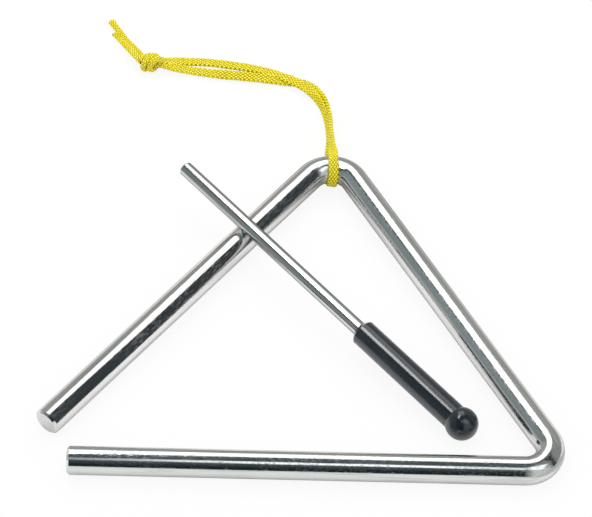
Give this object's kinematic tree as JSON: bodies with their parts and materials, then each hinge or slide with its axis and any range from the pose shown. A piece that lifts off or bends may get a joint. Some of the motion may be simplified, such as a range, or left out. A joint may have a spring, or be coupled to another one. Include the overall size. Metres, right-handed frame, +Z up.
{
  "type": "triangle instrument",
  "caption": "Percussion triangle: a round steel bar bent into a triangle with an open corner, a tied cord loop round its apex, and a loose beater with a black ball-ended grip across its leg.",
  "frame": {"origin": "on the table, under the middle of the box around the bar and the beater", "axes": "+Z up, with the triangle lying flat; +X along the base bar towards the closed lower corner; +Y from the base bar towards the apex"},
  "size_m": [0.1646, 0.2012, 0.017],
  "materials": {
    "plated_bar": "bright plating with fine drawn lines",
    "plated_rod": "bright plating",
    "black_grip": "glossy moulding",
    "yellow_cord": "braided cord"
  },
  "bodies": {
    "triangle": {"triangle_bar": "plated_bar"},
    "beater": {"beater_rod": "plated_rod", "beater_grip": "black_grip"},
    "hanger": {"hanger_loop": "yellow_cord", "hanger_knot": "yellow_cord", "hanger_tail_long": "yellow_cord", "hanger_tail_short": "yellow_cord"}
  },
  "joints": [
    {"name": "beater_lift", "type": "slide", "parent": "triangle", "child": "beater", "axis": [0, 0, 1], "range_m": [0, 0.06]},
    {"name": "hanger_swing", "type": "hinge", "parent": "triangle", "child": "hanger", "pos_m": [0.00743, 0.06165, 0.0058], "axis": [1, 0, 0], "range_deg": [0, 150]}
  ]
}
